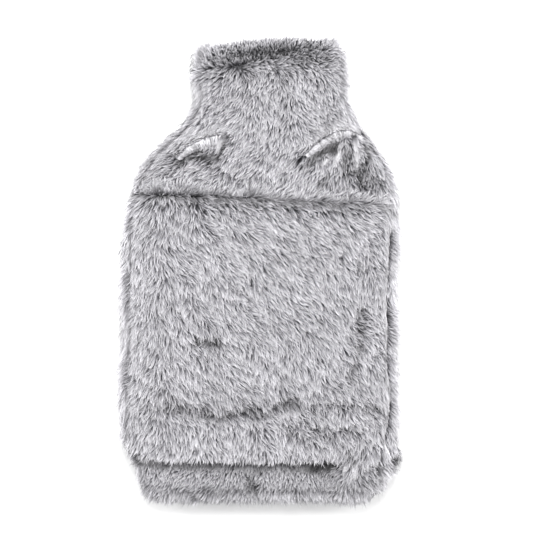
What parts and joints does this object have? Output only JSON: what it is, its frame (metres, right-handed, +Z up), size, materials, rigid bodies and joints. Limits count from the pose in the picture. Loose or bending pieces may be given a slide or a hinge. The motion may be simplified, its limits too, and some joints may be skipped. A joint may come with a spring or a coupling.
{
  "type": "hot water bottle cover",
  "caption": "Soft long-pile fur cover for a hot water bottle: a hollow bag with a wide neck, a hemmed front panel and a tucked flap, lying face up.",
  "frame": {"origin": "on the surface under the middle of the cover, at the centre of its underside", "axes": "+Y towards the neck, +Z up out of the front, +X to the right of the front"},
  "size_m": [0.2208, 0.372, 0.0505],
  "materials": {
    "fur": "long soft grey pile, pale at the tips and dark at the roots"
  },
  "bodies": {
    "root": {"back_panel": "fur", "neck_yoke": "fur", "front_panel": "fur", "bottom_flap": "fur"}
  },
  "joints": []
}
